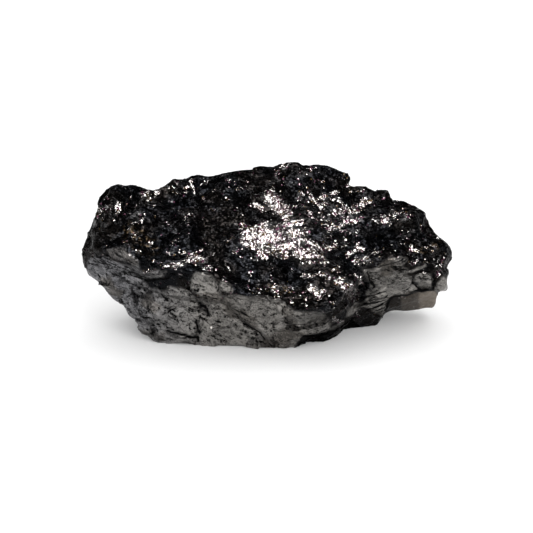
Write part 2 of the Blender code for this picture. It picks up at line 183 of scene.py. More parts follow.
# Broken faces that lie near a plane: (outline, share of the way that they are brought to
# it, how much their foot is drawn out).
FLATS = {
    "far_left": ((
        (-23.1, -3.1), (-17.2, -4.3), (-11.3, -7.0), (-11.9, -12.4), (-18.0, -12.4), (-21.4, -8.2),
    ), 0.6, 0.12),
    "left": ((
        (-11.3, -7.4), (-6.5, -6.5), (-1.9, -10.4), (-0.8, -13.8), (-8.7, -13.8), (-11.6, -12.8),
    ), 0.7, 0.15),
    "middle": ((
        (-5.2, -5.3), (2.8, -6.0), (3.6, -10.7), (5.7, -12.1), (2.8, -13.8), (-0.8, -10.7),
        (-2.8, -8.2),
    ), 0.7, 0.15),
    "right_lobe": ((
        (3.1, -7.9), (5.7, -7.5), (10.2, -8.7), (10.9, -10.4), (9.9, -11.4), (6.2, -11.8),
        (3.6, -10.7),
    ), 0.9, 0.42),
    "raised_patch": ((
        (-12.1, -1.1), (-9.1, -1.4), (-8.4, -4.3), (-10.4, -5.5), (-12.6, -4.0),
    ), 0.9, 0.00),
    "small_patch": ((
        (-8.2, -2.6), (-7.3, -2.1), (-6.2, -2.8), (-5.8, -4.2), (-6.8, -4.6), (-7.9, -3.9),
    ), 0.9, -0.55),
    "blue_knob": ((
        (25.1, -1.4), (26.3, -1.1), (27.7, -1.4), (28.2, -2.5), (27.7, -3.5), (26.7, -3.8),
        (25.4, -3.0),
    ), 0.8, 0.00),
    "right_face": ((
        (16.2, -0.6), (20.6, 0.8), (22.1, -0.6), (24.6, -3.1), (23.4, -5.0), (20.6, -5.7),
        (17.9, -5.2), (16.8, -3.1),
    ), 0.8, 0.00),
    "right_low": ((
        (16.2, -6.5), (20.1, -6.0), (20.7, -9.1), (15.8, -10.7), (14.1, -9.4),
    ), 0.8, 0.15),
    "upper_left_patch": ((
        (-27.2, 1.9), (-26.1, 3.3), (-23.6, 2.5), (-21.7, 0.4), (-21.6, -0.6), (-23.6, 0.8),
        (-26.5, 1.6),
    ), 0.8, 0.00),
}
# Raised lines: (points, width, height, strength of their satin).
RIBS = {
    "arc": (((20.9, -0.3), (22.6, -0.9), (24.6, -0.8), (26.7, 0.1)), 0.45, 0.25, 0.9),
    "slanting": (((-6.0, -7.2), (-3.5, -8.6), (-0.9, -10.3), (0.9, -12.4)), 1.3, 0.35, 0.0),
    "face_edge": (((-19.5, -3.6), (-16.0, -4.6), (-12.6, -5.3)), 0.9, 0.25, 0.0),
    "round_knob": (((29.4, -2.7), (29.7, -3.4)), 1.4, 0.40, 0.0),
    "foot_lip": (((-15.3, -12.2), (-11.5, -12.4)), 0.7, 0.25, 0.0),
}

# Places where the stone is drawn out or in: (place, reach, (shift along the stone, shift
# up the view)).
GRABS = {
    "upper_left_corner": ((-28.8, 12.0), 3.4, (-0.7, 0.5)),
    "upper_left_top": ((-26.2, 13.6), 2.6, (-0.2, 0.6)),
    "back_knob": ((-15.8, 14.6), 3.0, (0.0, 1.2)),
    "ridge": ((-7.5, 16.2), 6.0, (0.0, 0.28)),
    "summit": ((3.6, 17.3), 2.8, (0.0, 0.75)),
    "summit_right": ((9.6, 16.9), 3.6, (0.0, 0.92)),
    "summit_corner": ((13.4, 15.8), 2.0, (0.5, 0.3)),
    "step_under_summit": ((14.2, 13.6), 1.4, (-0.4, -0.3)),
    "ledge": ((16.8, 13.4), 2.2, (0.0, 0.5)),
    "ledge_knob": ((20.2, 12.6), 1.8, (0.4, 0.4)),
    "dome": ((26.6, 8.6), 3.4, (0.5, 0.4)),
    "dome_back": ((22.8, 10.8), 2.6, (0.1, 0.25)),
    "left_end": ((-30.0, -1.2), 3.2, (-0.3, -0.15)),
    "lower_left": ((-25.6, -5.2), 3.6, (-0.7, -1.1)),
    "left_notch": ((-22.6, -7.4), 2.2, (-0.7, -0.4)),
    "left_foot": ((-21.0, -11.6), 2.6, (-0.4, 0.0)),
    "under_right": ((21.5, -8.8), 2.6, (-0.2, 0.6)),
    "right_foot_end": ((28.9, -6.6), 2.4, (0.8, -1.2)),
    "nose": ((30.4, -3.2), 1.6, (0.4, -0.6)),
    "nose_notch": ((30.9, 0.0), 1.4, (-0.7, 0.0)),
    "left_step": ((-21.3, -11.9), 1.5, (-0.6, -0.4)),
}

# Strokes drawn on the front are (points, width, strength). These are the fresh breaks,
# which throw back the light. They are painted highlights, with pale colours, and turn
# to the main lamp.
FRESH_GLINTS = {
    "core_left": (((-3.1, 4.3), (-2.0, 3.5), (-1.2, 3.2)), 1.4, 0.90),
    "core_middle": (((-0.6, 4.8), (1.4, 4.3), (3.1, 4.4), (4.7, 4.6)), 2.3, 1.0),
    "core_right": (((4.4, 3.7), (6.2, 3.2), (7.9, 2.4)), 2.3, 1.0),
    "core_low_middle": (((1.8, 2.3), (3.2, 2.0), (4.8, 2.0)), 1.0, 0.90),
    "core_tail": (((5.0, 1.3), (5.9, 0.8)), 0.8, 0.9),
    "core_top": (((0.5, 11.7), (1.7, 10.6), (2.9, 9.2)), 1.6, 0.95),
    "core_spot": (((3.9, 7.2), (5.7, 7.6)), 0.8, 0.75),
    "core_fringe_right": (((6.2, 6.3), (6.9, 5.2), (7.7, 4.3)), 0.9, 0.60),
    "core_fringe_left": (((-4.5, 6.6), (-3.4, 5.8), (-1.9, 5.5)), 1.4, 0.55),
    "core_fringe_top": (((-2.1, 6.2), (0.3, 6.3), (2.6, 6.8)), 1.5, 0.64),
    "core_low_left": (((-2.1, 1.6), (-0.1, 2.1)), 0.9, 0.8),
    "under_core": (((-0.8, -0.3), (1.6, -0.4)), 0.4, 0.55),
    "pink_patch": (((-3.1, 9.7), (-2.1, 10.2), (-0.9, 9.9)), 0.7, 0.8),
    "fan": (((7.2, 12.4), (7.5, 11.6), (7.9, 10.9)), 0.7, 0.75),
    "upper_streak": (((9.6, 11.8), (10.7, 12.1), (11.9, 12.8)), 0.6, 0.85),
    "upper_spot": (((5.7, 12.9), (6.2, 12.4)), 0.4, 0.8),
    "upper_scatter": (((5.7, 11.3), (8.7, 10.1), (11.6, 10.7)), 1.8, 0.44),
    "band_bridge": (((7.4, 8.6), (9.8, 7.6), (12.2, 8.2)), 1.6, 0.46),
    "band_low": (((10.7, 6.7), (12.6, 7.4), (14.5, 8.0), (16.2, 8.4)), 1.0, 0.82),
    "band_high": (((12.1, 9.2), (13.6, 9.6), (15.3, 9.2)), 0.9, 0.78),
    "band_spot": (((16.0, 10.1), (17.2, 11.1)), 0.8, 0.95),
    "band_right": (((17.9, 7.9), (20.1, 8.4), (21.7, 8.9), (23.6, 8.7)), 0.9, 0.62),
    "band_right_spot": (((19.5, 8.5), (20.1, 7.7)), 0.5, 1.0),
    "slope_scatter": (((9.4, 4.8), (11.6, 3.8), (14.5, 5.2)), 1.6, 0.42),
    "slope_streak": (((9.9, 3.0), (11.4, 3.3)), 0.4, 0.7),
    "lower_spot": (((13.6, 2.1), (14.8, 2.5), (16.0, 2.8)), 0.6, 0.8),
    "lower_streak": (((14.8, 0.8), (16.2, 0.6), (17.5, 0.8)), 0.8, 0.65),
    "lower_streak_right": (((16.8, 1.4), (18.5, 2.3), (19.7, 3.0)), 0.4, 0.6),
    "hollow_edge": (((6.0, 0.9), (8.7, 1.3), (11.8, 0.8)), 0.35, 0.6),
    "bulge_top": (((6.5, -1.8), (7.9, -1.3), (9.1, -1.3), (10.4, -1.8)), 0.8, 0.75),
    "bulge_ring": (((7.5, -3.3), (8.2, -4.3), (8.9, -5.0), (9.6, -4.3)), 0.7, 0.85),
    "bulge_right": (((12.5, -2.7), (13.9, -3.3), (14.6, -4.9)), 1.2, 0.88),
    "bulge_edge": (((15.1, -1.4), (15.8, -2.3), (16.2, -3.0)), 0.5, 0.7),
    "bulge_left": (((-0.8, -3.5), (0.9, -4.0), (2.6, -3.3), (4.0, -4.1)), 0.9, 0.5),
    "bulge_low": (((9.9, -6.5), (11.3, -6.2), (12.6, -5.7)), 0.8, 0.45),
    "low_glints": (((11.3, -9.1), (12.1, -9.2), (12.9, -9.6)), 0.5, 0.85),
    "low_dot": (((15.3, -7.9), (15.7, -8.2)), 0.3, 1.0),
    "nose_hook": (((24.3, 3.5), (24.6, 2.8), (25.5, 2.8)), 0.35, 0.95),
    "nose_streak_one": (((27.2, 3.6), (27.8, 3.1)), 0.25, 0.9),
    "nose_streak_two": (((27.8, 3.8), (28.7, 3.1)), 0.25, 0.9),
    "nose_streak_three": (((27.2, 3.0), (28.2, 2.5)), 0.25, 0.8),
    "nose_knob": (((28.7, 0.8), (29.4, -0.1), (30.2, 0.6)), 0.7, 0.55),
    "nose_knob_low": (((29.0, -1.3), (29.7, -0.8)), 0.4, 0.85),
    "nose_glint": (((25.0, 0.6), (25.5, 1.1)), 0.35, 0.85),
    "summit_left": (((1.6, 16.8), (2.6, 17.2), (3.5, 16.8)), 0.3, 0.40),
    "summit_drop": (((1.4, 15.8), (1.8, 15.0), (1.9, 14.3)), 0.35, 0.40),
    "summit_dot": (((1.1, 13.5), (1.4, 13.3)), 0.28, 0.9),
    "summit_scatter": (((4.0, 14.3), (5.7, 15.5), (7.0, 15.8)), 1.1, 0.25),
    "top_streak_one": (((-7.2, 14.3), (-5.7, 14.8), (-4.0, 14.6)), 0.30, 0.42),
    "top_streak_two": (((-7.7, 12.6), (-6.2, 13.1), (-4.5, 13.6)), 0.30, 0.50),
    "top_streak_three": (((-6.0, 11.8), (-4.8, 11.4)), 0.35, 0.60),
    "top_scatter": (((-7.0, 13.6), (-5.2, 12.6), (-2.8, 13.6)), 1.4, 0.12),
    "back_knob_streak": (((-13.8, 12.8), (-13.3, 13.6), (-12.9, 14.5)), 0.45, 0.80),
    "back_knob_arcs": (((-16.0, 13.3), (-15.0, 14.0), (-14.0, 13.8)), 0.9, 0.38),
    "back_knob_right": (((-12.6, 13.6), (-12.3, 12.8)), 0.30, 0.5),
    "back_knob_edge": (((-11.9, 12.9), (-10.6, 13.8), (-9.4, 14.8)), 0.2, 0.6),
    "corner_facet": (((-25.0, 10.6), (-25.3, 9.7)), 0.55, 1.0),
    "corner_edge": (((-24.1, 10.7), (-25.1, 9.4), (-26.0, 8.0)), 0.4, 0.45),
    "corner_glint": (((-28.3, 9.4), (-27.2, 9.9)), 0.6, 0.8),
    "saddle": (((-21.1, 11.8), (-20.1, 12.3)), 0.6, 0.65),
    "saddle_right": (((-19.5, 11.1), (-18.7, 11.9), (-18.4, 12.6)), 0.5, 0.45),
    "gold_left": (((-24.3, 3.3), (-23.1, 4.0)), 0.5, 0.55),
    "gold_middle": (((-22.8, 5.0), (-21.4, 5.5), (-19.9, 5.3)), 0.7, 0.45),
    "gold_right": (((-21.6, 3.1), (-19.7, 3.8)), 0.6, 0.55),
    "brow_streak": (((-16.7, -0.1), (-14.6, 0.4), (-12.6, 1.1), (-11.4, 1.6)), 0.6, 0.8),
    "brow_streak_top": (((-12.9, 1.9), (-11.6, 1.4), (-10.6, 0.9)), 0.8, 0.7),
    "brow_streak_end": (((-10.7, -0.3), (-9.2, -0.4)), 0.5, 0.75),
    "brow_line": (((-21.1, -1.1), (-19.7, -0.8), (-18.4, -0.4)), 0.25, 0.7),
    "slope_dash": (((-9.7, 3.8), (-8.9, 3.0)), 0.3, 0.95),
    "slope_dash_two": (((-7.5, 5.5), (-7.4, 4.5)), 0.2, 0.7),
    "slope_dash_three": (((-6.3, 5.5), (-5.5, 4.5)), 0.2, 0.7),
    "left_wisps": (((-16.7, 7.2), (-15.3, 6.5), (-13.6, 6.9)), 1.4, 0.42),
    "left_spots": (((-22.3, 10.4), (-21.7, 8.9), (-20.6, 7.9)), 1.2, 0.42),
    "left_low_spots": (((-30.9, 2.8), (-29.9, 1.8), (-28.9, 1.3)), 0.8, 0.4),
    "raised_patch_glint": (((-13.5, -2.8), (-13.1, -3.0)), 0.3, 0.9),
}
# Painted shade: quiet places where the rock is kept dull black, with few glints, and
# its flakes turned from the main lamp.
QUIET_SHADE = {
    "summit_face": (((6.9, 14.0), (9.4, 14.1), (12.1, 14.5)), 1.5, 1.0),
    "ledge_hollow": (((16.2, 9.2), (18.5, 9.7), (21.1, 10.4)), 0.8, 1.0),
    "dome_hollow": (((17.9, 4.8), (21.9, 4.8), (26.0, 5.5)), 1.9, 0.8),
    "front_hollow": (((7.0, -0.3), (10.7, -0.1), (14.5, 0.4)), 0.8, 1.0),
    "mid_hollow": (((-1.9, -0.9), (1.9, -1.3), (5.7, -0.6)), 1.4, 0.9),
    "bay": (((-6.0, 8.9), (-3.5, 9.1)), 1.2, 1.0),
    "fold_hollow": (((-7.9, 2.8), (-5.2, 2.5), (-3.1, 1.8)), 1.5, 1.0),
    "left_hollow": (((-19.7, 7.5), (-18.4, 5.5), (-17.3, 3.5)), 1.5, 0.7),
    "middle_slope": (((-16.0, 8.0), (-12.0, 7.0), (-8.5, 5.0)), 2.0, 0.5),
    "above_bay": (((-9.0, 14.8), (-5.0, 15.4), (0.0, 15.8)), 1.0, 0.8),
    "below_streaks": (((-8.0, 10.4), (-4.5, 11.6)), 1.0, 0.8),
    "valley": (((-22.4, 12.3), (-23.6, 8.9), (-25.1, 6.2)), 0.8, 0.9),
    "bulge_shadow": (((5.7, -8.7), (8.7, -7.4), (13.1, -6.7)), 1.0, 0.5),
}
# Golden brown stain.
STAIN = {
    "left": (((-23.1, 5.8), (-21.4, 4.5), (-19.7, 3.1)), 1.8, 1.0),
    "nose": (((24.3, 3.2), (27.0, 2.8), (28.9, 3.8)), 0.8, 0.6),
    "bulge": (((0.2, -3.6), (3.3, -4.0)), 1.0, 0.6),
}
# Darker, browner places on the satin.
SHADES = {
    "slanting_band": (((-6.9, -6.7), (-4.5, -8.0), (-2.4, -9.6)), 0.9, 0.6),
    "under_rib": (((0.6, -12.9), (2.9, -12.2), (4.6, -11.2)), 1.5, 0.6),
    "left_edge": (((-27.0, -2.6), (-25.2, -4.4)), 0.9, 0.6),
    "left_oval": (((-20.6, -5.8), (-18.4, -6.8)), 0.9, 0.5),
    "below_patch": (((-10.2, -5.4), (-6.9, -5.6)), 0.8, 0.5),
    "upper_left": (((-26.5, 2.4), (-24.5, 2.2), (-22.6, 0.8)), 1.1, 0.5),
    "low_left": (((-21.0, -11.4), (-18.0, -11.9)), 0.9, 0.4),
    "right_lobe": (((3.3, -7.2), (4.3, -9.4)), 0.7, 0.4),
    "right_top": (((18.8, 1.3), (20.6, 0.6), (20.4, -1.0)), 1.0, 0.9),
}
# Painted shadow: a matt tan patch on the right foot, for the brown shade under the right
# end.
TAN_FOOT_SHADOW = {
    "right_foot": (
        (21.2, -5.5), (24.1, -4.5), (28.4, -4.1), (29.9, -5.7), (28.5, -8.0), (26.2, -7.9),
        (24.3, -7.6), (21.2, -9.6), (20.2, -9.2),
    ),
}
# Painted shadow: lobes under the bulge, coloured black for the shade under the stone.
SHADOW_LOBES = {
    "under_bulge": (
        (5.0, -13.3), (6.2, -11.8), (8.7, -11.4), (11.6, -10.8), (13.3, -9.4), (14.5, -8.6),
        (15.8, -10.3), (18.5, -9.9), (20.2, -8.6), (20.9, -8.7), (19.9, -11.1), (12.4, -15.1),
        (5.7, -15.5),
    ),
}
# Cracks across the satin faces: (points, width, strength).
CRACKS = {
    "long": (((-3.9, -9.9), (-2.4, -10.6), (-1.0, -11.5), (0.2, -12.6), (1.0, -13.6)), 0.40, 1.0),
    "long_start": (((-4.9, -8.8), (-3.9, -9.9)), 0.25, 0.9),
    "short_thick": (((-18.0, -4.6), (-17.3, -5.3), (-16.7, -6.0)), 0.45, 1.0),
    "cross_left": (((-17.7, -8.2), (-16.6, -7.7), (-15.4, -7.2)), 0.35, 1.0),
    "cross_right": (((-16.8, -7.6), (-15.8, -8.2), (-14.9, -9.1)), 0.35, 0.9),
    "upright": (((-11.3, -6.3), (-10.4, -6.9), (-9.9, -8.3)), 0.55, 1.0),
    "upright_low": (((-9.9, -8.3), (-10.7, -9.4), (-11.3, -10.9)), 0.25, 0.8),
    "upright_foot": (((-12.0, -9.5), (-11.7, -10.2), (-11.4, -11.2)), 0.55, 1.0),
    "under_patch": (((-12.9, -3.7), (-11.4, -4.9), (-9.6, -5.7), (-8.3, -5.6)), 0.22, 0.85),
    "patch_side": (((-8.5, -2.2), (-8.2, -3.4), (-8.4, -4.6)), 0.30, 0.9),
    "slanting_shade": (((-6.4, -6.4), (-4.6, -7.4), (-2.2, -8.8), (0.0, -10.4)), 0.35, 0.8),
    "middle": (((-2.4, -5.9), (-2.9, -7.2), (-3.0, -8.1)), 0.25, 0.8),
    "low": (((-5.6, -11.4), (-4.6, -11.9), (-4.2, -12.8)), 0.25, 0.8),
    "foot": ((
        (-16.9, -11.1), (-15.3, -11.4), (-13.4, -11.9), (-11.6, -12.0), (-11.6, -12.8),
    ), 0.45, 1.0),
    "foot_left": (((-21.0, -11.9), (-18.6, -12.3), (-16.4, -12.4)), 0.25, 0.8),
    "right_lobe": (((2.9, -6.6), (2.6, -8.0), (3.6, -9.2), (3.4, -10.6)), 0.30, 0.9),
    "right_lobe_low": (((3.6, -9.2), (5.4, -10.4), (5.6, -11.6)), 0.25, 0.8),
    "left_flow": (((-26.8, -0.9), (-24.0, -2.2), (-21.4, -3.6), (-19.6, -4.2)), 0.30, 0.8),
    "left_flow_low": (((-25.6, -3.4), (-22.8, -4.6), (-20.4, -5.0)), 0.25, 0.7),
    "right_side": (((17.1, -1.0), (17.4, -2.2), (18.3, -3.7), (17.6, -4.3)), 0.50, 1.0),
    "right_second": (((19.5, -1.3), (20.2, -2.4), (19.2, -3.0), (20.4, -3.4)), 0.25, 0.8),
    "right_third": (((16.9, -5.3), (18.6, -4.9), (20.4, -4.3)), 0.30, 0.9),
    "right_fourth": (((16.6, -6.3), (18.6, -5.9), (20.6, -5.0)), 0.30, 0.9),
    "right_fifth": (((17.2, -7.4), (19.0, -7.0), (20.2, -6.2)), 0.35, 1.0),
    "knob_side": (((24.8, -1.6), (24.7, -2.9), (26.0, -3.9), (27.6, -4.0)), 0.40, 1.0),
    "knob_gap": (((28.3, -1.2), (28.4, -2.4), (28.1, -3.8)), 0.45, 1.0),
    "brow_ledge": (((-20.7, -2.3), (-18.7, -2.4), (-16.6, -2.0)), 0.45, 1.0),
    "foot_top": ((
        (20.2, -7.7), (21.0, -5.7), (22.1, -5.3), (24.3, -4.9), (26.0, -4.1), (28.4, -4.2),
    ), 0.55, 1.0),
    "lobe_edge": (((-0.8, -5.9), (0.4, -7.2), (0.2, -8.6)), 0.25, 0.7),
}


def deselect_all():
    bpy.ops.object.select_all(action="DESELECT")


def copy_of_solid(name):
    """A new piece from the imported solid, with its loose triangles merged."""
    deselect_all()
    piece = bpy.data.objects.new(name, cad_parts[NODE].data.copy())
    bpy.context.scene.collection.objects.link(piece)
    bpy.context.view_layer.objects.active = piece
    piece.select_set(True)
    piece.data.materials.clear()
    bpy.ops.object.mode_set(mode="EDIT")
    bpy.ops.mesh.select_all(action="SELECT")
    bpy.ops.mesh.remove_doubles(threshold=0.005 * MM)
    bpy.ops.object.mode_set(mode="OBJECT")
    return piece


def refine(piece, voxel):
    modifier = piece.modifiers.new("Refine", "REMESH")
    modifier.mode = "VOXEL"
    modifier.voxel_size = voxel * MM
    bpy.ops.object.modifier_apply(modifier=modifier.name)


def points_and_normals(mesh):
    """Places of the vertices, in millimetres, and their normals."""
    points = np.empty(len(mesh.vertices) * 3)
    mesh.vertices.foreach_get("co", points)
    normals = np.empty(len(mesh.vertices) * 3)
    mesh.vertex_normals.foreach_get("vector", normals)
    return points.reshape(-1, 3) / MM, normals.reshape(-1, 3)


def set_points(mesh, points):
    mesh.vertices.foreach_set("co", np.ascontiguousarray(points * MM).ravel())
    mesh.update()


def paint(mesh, name, values):
    """Keeps a value from 0 to 1 on each vertex, for the material."""
    layer = mesh.attributes.new(name, "FLOAT", "POINT")
    layer.data.foreach_set("value", np.clip(values, 0, 1).astype(np.float32))


def seen(points):
    """(u, v) of each point as it is seen on the front."""
    offset = points - EYE
    depth = -(offset @ OUT)
    return np.stack([offset[:, 0], offset @ UP], axis=1) / depth[:, None] * VIEW_DISTANCE


def smooth(values, low, high):
    share = np.clip((values - low) / (high - low), 0, 1)
    return share * share * (3 - 2 * share)


def distance_to_line(uv, line):
    best = np.full(len(uv), np.inf)
    for start, end in zip(np.array(line), np.array(line)[1:]):
        along = end - start
        share = np.clip((uv - start) @ along / (along @ along), 0, 1)
        away = uv - start - share[:, None] * along
        best = np.minimum(best, np.hypot(away[:, 0], away[:, 1]))
    return best


def depth_inside(uv, outline):
    """Distance from the outline, above 0 inside it and below 0 outside."""
    ring = outline + outline[:1]
    inside = np.zeros(len(uv), bool)
    for (u0, v0), (u1, v1) in zip(ring, ring[1:]):
        crosses = (v0 > uv[:, 1]) != (v1 > uv[:, 1])
        at = u0 + (uv[:, 1] - v0) * (u1 - u0) / (v1 - v0 if v1 != v0 else 1)
        inside ^= crosses & (uv[:, 0] < at)
    return np.where(inside, 1, -1) * distance_to_line(uv, ring)


def noise_at(points, size, offset=0.0):
    shift = Vector((offset, offset, offset))
    return np.array([noise.noise(Vector(p) / size + shift) for p in points])


def wander(points, size, offset=0.0):
    """A smooth random shift for each point."""
    shift = Vector((offset, offset, offset))
    return np.array([noise.noise_vector(Vector(p) / size + shift) for p in points])


def flakes(points, kind, lean):
    """Height of a skin of small shell-shaped breaks that meet in sharp ridges.

    Each break is a shallow bowl that tilts its own way, besides the lean it is given.
    """
    size, stretch, warp, bowl, tilt, offset = kind
    stretch = np.array(stretch)
    places = points * stretch / size + warp * wander(points, 1.4 * size, offset)
    leans = lean / stretch
    height = np.empty(len(points))
    for i, place in enumerate(places):
        place = Vector(place)
        distances, centres = noise.voronoi(place)
        away = place - centres[0]
        turn = noise.cell_vector(centres[0] * 37.0) * 2 - Vector((1, 1, 1))
        height[i] = bowl * distances[0] ** 2 + (tilt * turn + Vector(leans[i])).dot(away)
    return height * size


def unit(vectors):
    return vectors / np.linalg.norm(vectors, axis=1)[:, None]


def lean_to_key(points, normals, steepest):
    """The slope that would turn the surface to mirror the main lamp to the front."""
    half = unit(unit(KEY - points) + unit(EYE - points))
    facing = np.clip((half * normals).sum(axis=1), 0.3, 1)
    slope = normals - half / facing[:, None]
    slope -= normals * (slope * normals).sum(axis=1)[:, None]
    steep = np.linalg.norm(slope, axis=1)
    return slope * np.minimum(1, steepest / np.maximum(steep, 1e-6))[:, None]


def strokes_share(points, normals, strokes, ragged=0.5):
    """How much of the strokes each point takes, with ragged edges."""
    uv = seen(points) + ragged * wander(points, 1.5, 6.6)[:, :2]
    share = np.zeros(len(points))
    for line, width, strength in strokes.values():
        near = 1 - smooth(distance_to_line(uv, line), 0.5 * width, 1.3 * width)
        share = np.maximum(share, strength * near)
    return share * smooth(normals @ OUT, -0.05, 0.15)


def region_share(points, normals, regions, ragged=0.5):
    """1 inside the regions and 0 outside, with ragged edges."""
    uv = seen(points)
    edge = ragged * noise_at(points, 1.6, 4.1)
    share = np.zeros(len(points))
    for outline in regions.values():
        share = np.maximum(share, smooth(depth_inside(uv, outline) + edge, -0.25, 0.25))
    return share * smooth(normals @ OUT, -0.1, 0.1)


def flatten(piece):
    """Brings the broken faces nearer to planes, with a crease round each."""
    points, normals = points_and_normals(piece.data)
    uv = np.column_stack([seen(points), np.ones(len(points))])
    depth = points @ OUT
    edge = 0.3 * noise_at(points, 1.2, 9.9)
    front = smooth(normals @ OUT, 0.1, 0.4)
    shift = np.zeros(len(points))
    for outline, strength, lift in FLATS.values():
        share = smooth(depth_inside(uv[:, :2], outline) + edge, -0.2, 0.2) * front
        inside = share > 0.5
        plane = np.linalg.lstsq(uv[inside], depth[inside], rcond=None)[0]
        foot = lift * (uv[inside, 1].mean() - uv[:, 1])
        move = np.clip(uv @ plane - depth + foot, -MOST_FLATTENING, MOST_FLATTENING)
        shift += strength * share * move
    set_points(piece.data, points + shift[:, None] * OUT)


def ribs_share(points, normals):
    """Height of the raised lines, and how much satin they carry."""
    uv = seen(points) + 0.2 * wander(points, 1.2, 5.5)[:, :2]
    height = np.zeros(len(points))
    satin = np.zeros(len(points))
    for line, width, rise, sheen in RIBS.values():
        near = 1 - smooth(distance_to_line(uv, line), 0.35 * width, 0.75 * width)
        height = np.maximum(height, rise * near)
        satin = np.maximum(satin, sheen * near)
    front = smooth(normals @ OUT, -0.05, 0.15)
    return height * front, satin * front


def crack_share(points, normals):
    """1 along the middle of the cracks, falling to 0 at their sides."""
    uv = seen(points) + 0.25 * wander(points, 0.9, 3.3)[:, :2]
    share = np.zeros(len(points))
    for line, width, strength in CRACKS.values():
        near = np.clip(1 - distance_to_line(uv, line) / width, 0, 1)
        share = np.maximum(share, strength * near)
    return share * smooth(normals @ OUT, 0.0, 0.15)


def grab(piece):
    """Draws the stone out or in at the named places, as with a broad brush."""
    points, _ = points_and_normals(piece.data)
    uv = seen(points)
    moved = points.copy()
    for place, reach, (along, up) in GRABS.values():
        pull = 1 - smooth(np.hypot(*(uv - place).T), 0.0, reach)
        moved += pull[:, None] * (along * np.array((1.0, 0.0, 0.0)) + up * UP)
    set_points(piece.data, moved)


def work_surface(piece):
    """Shapes the surface and paints what the material needs to know of each place."""
    grab(piece)
    flatten(piece)
    points, normals = points_and_normals(piece.data)

    # Where each finish and each painted shadow lies. Out of sight, the satin lies mostly on
    # steep sides.
    shadow_lobes = region_share(points, normals, SHADOW_LOBES, 0.3)
    tan_foot_shadow = region_share(points, normals, TAN_FOOT_SHADOW, 0.3)
    ribs, rib_satin = ribs_share(points, normals)
    satin = np.maximum(region_share(points, normals, SATIN_FACES, 0.35), rib_satin)
    satin *= (1 - shadow_lobes) * (1 - tan_foot_shadow)
    hidden = 1 - smooth(normals @ OUT, -0.4, -0.1)
    patches = smooth(noise_at(points, 6.0, 12.3) - 0.9 * normals[:, 2], 0.1, 0.35)
    satin = np.maximum(satin, hidden * patches)
    layered = region_share(points, normals, LAYERED, 0.6) * (1 - rib_satin)

    # How fresh and how cracked the rock is. Its liveliness is raised by the painted
    # highlights and lowered by the painted shade.
    fresh_glint = strokes_share(points, normals, FRESH_GLINTS)
    quiet_shade = strokes_share(points, normals, QUIET_SHADE)
    crack = crack_share(points, normals)
    live = np.clip(0.06 + 0.38 * noise_at(points, 2.4, 7.7) + fresh_glint - 0.5 * quiet_shade, 0, 1)
    live *= (1 - shadow_lobes) * (1 - 0.8 * satin)
    # Painted shade: the tan patch of the foot is darker towards its left end.
    along = seen(points)[:, 0] + 0.3 * noise_at(points, 1.0, 3.1)
    foot_shade = 0.12 + 0.36 * smooth(along, 22.5, 23.1) + 0.52 * smooth(along, 25.5, 26.2)

    # How strongly the rock is flaked: less at the outline, to keep it clean, and less on the
    # satin and where the rock is freshest
    edge = 0.35 + 0.65 * smooth(np.abs(normals @ OUT), 0.0, 0.45)
    rough = 1 - 0.9 * np.maximum(satin, np.maximum(shadow_lobes, tan_foot_shadow))
    rough *= (1 - 0.5 * smooth(fresh_glint, 0.7, 1.0)) * edge
    towards = lean_to_key(points, normals, 0.6)
    lean = towards * (0.9 * fresh_glint - 0.5 * quiet_shade)[:, None]
    loose = 0.55 + 0.45 * smooth(live, 0.0, 0.3) - 0.4 * fresh_glint

    push = flakes(points, COARSE_FLAKES, 0.5 * lean) * rough
    push += flakes(points, FINE_FLAKES, 0.6 * lean) * rough * loose
    push += flakes(points, SATIN_FLAKES, 0 * lean) * satin * edge
    push -= push.mean()
    push += ribs - CRACK_DEPTH * crack
    worked = points + normals * push[:, None]
    worked[:, 2] = np.maximum(worked[:, 2], 0)
    set_points(piece.data, worked)

    towards = lean_to_key(*points_and_normals(piece.data), 1.0)
    paint(piece.data, "satin", satin)
    paint(piece.data, "live", live)
    paint(piece.data, "crack", crack)
    paint(piece.data, "stain", strokes_share(points, normals, STAIN))
    paint(piece.data, "tan_foot_shadow", tan_foot_shadow * foot_shade)
    paint(piece.data, "shadow_lobes", shadow_lobes)
    paint(piece.data, "layered", layered)
    paint(piece.data, "shade", strokes_share(points, normals, SHADES, 0.8))
    layer = piece.data.attributes.new("lean", "FLOAT_VECTOR", "POINT")
    layer.data.foreach_set("vector", towards.astype(np.float32).ravel())


def tree_of(material):
    material.use_nodes = True
    return material.node_tree


